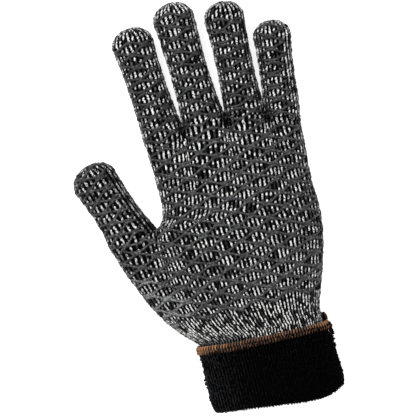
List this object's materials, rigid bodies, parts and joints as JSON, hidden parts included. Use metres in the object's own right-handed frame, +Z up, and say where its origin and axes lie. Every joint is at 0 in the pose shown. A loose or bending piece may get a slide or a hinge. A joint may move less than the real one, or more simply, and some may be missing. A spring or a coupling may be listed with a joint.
{
  "type": "work glove",
  "caption": "Knitted left work glove lying palm up, with a raised rubber grip net on the palm side and a turned-back terry cuff bound along its edge.",
  "frame": {"origin": "centre of the glove's bounding box, on the surface it lies on", "axes": "+Y from the cuff to the fingertips, +X from the thumb to the little finger, +Z up out of the palm"},
  "size_m": [0.1564, 0.2632, 0.0396],
  "materials": {
    "knit_cotton": "heathered knit",
    "net_rubber": "matte",
    "terry_cotton": "looped terry",
    "hem_thread": "overlocked thread"
  },
  "bodies": {
    "root": {"knit_palm": "knit_cotton", "knit_thumb": "knit_cotton", "knit_index": "knit_cotton", "knit_middle": "knit_cotton", "knit_ring": "knit_cotton", "knit_little": "knit_cotton", "grip_net": "net_rubber", "terry_cuff": "terry_cotton", "hem_binding": "hem_thread"}
  },
  "joints": []
}
